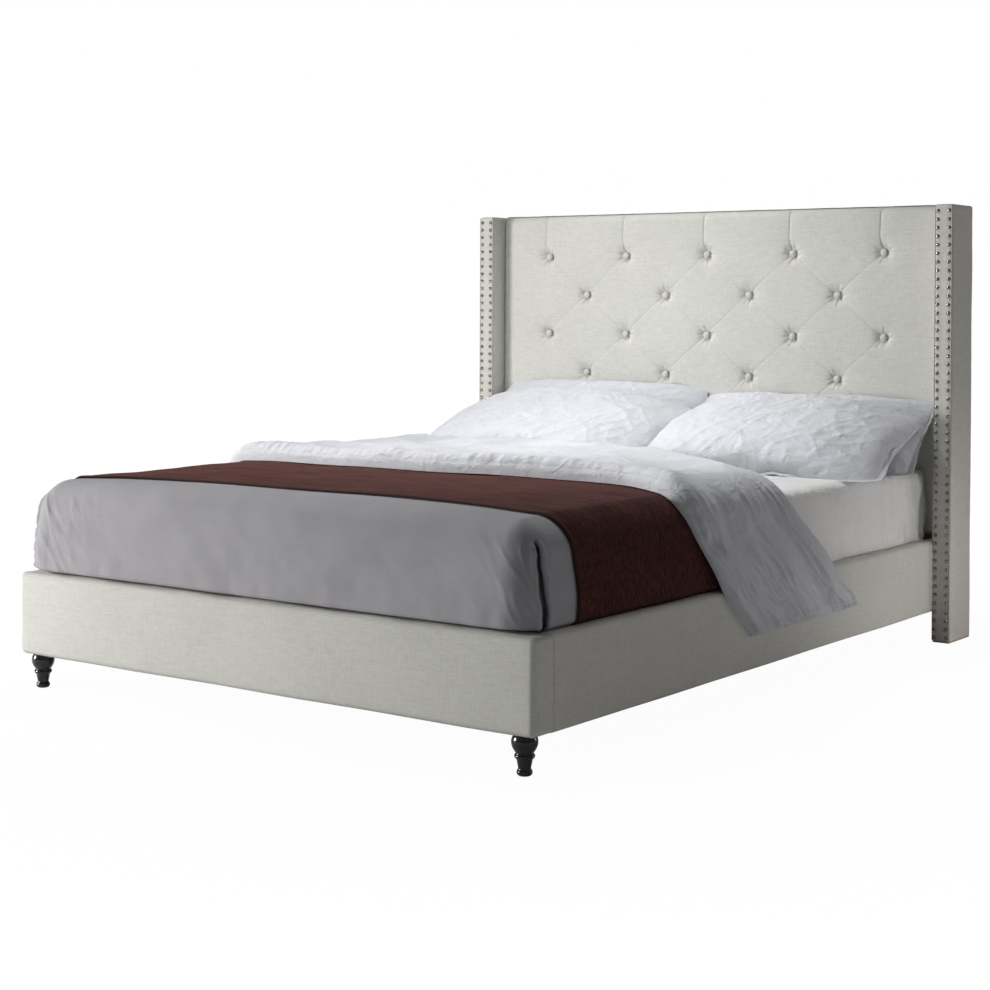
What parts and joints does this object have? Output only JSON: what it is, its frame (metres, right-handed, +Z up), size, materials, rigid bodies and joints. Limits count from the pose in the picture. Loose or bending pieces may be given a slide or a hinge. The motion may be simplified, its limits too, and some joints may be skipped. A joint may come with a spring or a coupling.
{
  "type": "upholstered headboard bed",
  "caption": "Queen-size upholstered bed with a winged, button-tufted headboard, padded rails, turned feet, a slatted base, mattress and bedding.",
  "frame": {"origin": "on the floor under the middle of the bed", "axes": "X across the bed, +X to the right seen from the foot end; +Y towards the headboard; +Z up"},
  "size_m": [1.726, 2.215, 1.295],
  "materials": {
    "linen": "off-white slubbed linen-look upholstery cloth",
    "timber": "planed softwood and plywood, unfinished",
    "black_lacquer": "turned hardwood in glossy black lacquer",
    "steel": "zinc-plated steel",
    "glide": "black moulded plastic",
    "lining": "black non-woven lining on thin board",
    "coverlet": "smooth grey cotton",
    "runner": "dark red-brown ribbed throw",
    "bed_linen": "white washed cotton",
    "mattress_cover": "white cotton fitted sheet over knitted ticking"
  },
  "bodies": {
    "root": {"bed_runner": "runner", "centre_support_rail": "timber", "duvet": "bed_linen", "foot_coverlet": "coverlet", "foot_end_centre_leg": "timber", "foot_rail_board": "timber", "foot_rail_cover": "linen", "head_end_centre_leg": "timber", "headboard_back_panel": "lining", "headboard_bottom_rail": "timber", "headboard_face_board": "timber", "headboard_lower_cover": "linen", "headboard_top_rail": "timber", "left_back_pillow": "bed_linen", "left_foot_bolt": "steel", "left_foot_bracket": "steel", "left_front_pillow": "bed_linen", "left_head_bolt": "steel", "left_head_bracket": "steel", "left_headboard_stile": "timber", "left_ledger": "timber", "left_rail_board": "timber", "left_rail_cover": "linen", "left_turned_foot": "black_lacquer", "left_wing_core": "timber", "left_wing_cover": "linen", "mattress": "mattress_cover", "right_back_pillow": "bed_linen", "right_foot_bolt": "steel", "right_foot_bracket": "steel", "right_front_pillow": "bed_linen", "right_head_bolt": "steel", "right_head_bracket": "steel", "right_headboard_stile": "timber", "right_ledger": "timber", "right_rail_board": "timber", "right_rail_cover": "linen", "right_turned_foot": "black_lacquer", "right_wing_core": "timber", "right_wing_cover": "linen", "slat_01": "timber", "slat_02": "timber", "slat_03": "timber", "slat_04": "timber", "slat_05": "timber", "slat_06": "timber", "slat_07": "timber", "slat_08": "timber", "slat_09": "timber", "slat_10": "timber", "tufted_headboard_pad": "linen", "tufting_row_1": "linen", "tufting_row_2": "linen", "tufting_row_3": "linen", "tufting_row_4": "linen", "tufting_row_5": "linen"},
    "foot_end_glide": {"foot_end_leveller_glide": "glide"},
    "foot_end_stud": {"foot_end_leveller_stud": "steel"},
    "head_end_glide": {"head_end_leveller_glide": "glide"},
    "head_end_stud": {"head_end_leveller_stud": "steel"}
  },
  "joints": [
    {"name": "foot_end_leveller_slide", "type": "slide", "parent": "root", "child": "foot_end_glide", "axis": [0, 0, -1], "range_m": [-0.008, 0.008]},
    {"name": "foot_end_leveller_screw", "type": "hinge", "parent": "foot_end_glide", "child": "foot_end_stud", "pos_m": [0, -0.45, 0.03], "axis": [0, 0, -1], "range_deg": [-2310, 2310]},
    {"name": "head_end_leveller_slide", "type": "slide", "parent": "root", "child": "head_end_glide", "axis": [0, 0, -1], "range_m": [-0.008, 0.008]},
    {"name": "head_end_leveller_screw", "type": "hinge", "parent": "head_end_glide", "child": "head_end_stud", "pos_m": [0, 0.45, 0.03], "axis": [0, 0, -1], "range_deg": [-2310, 2310]}
  ],
  "couplings": [
    {"joint": "foot_end_leveller_screw", "follows": "foot_end_leveller_slide", "rad_per_m": 5026.5},
    {"joint": "head_end_leveller_screw", "follows": "head_end_leveller_slide", "rad_per_m": 5026.5}
  ]
}
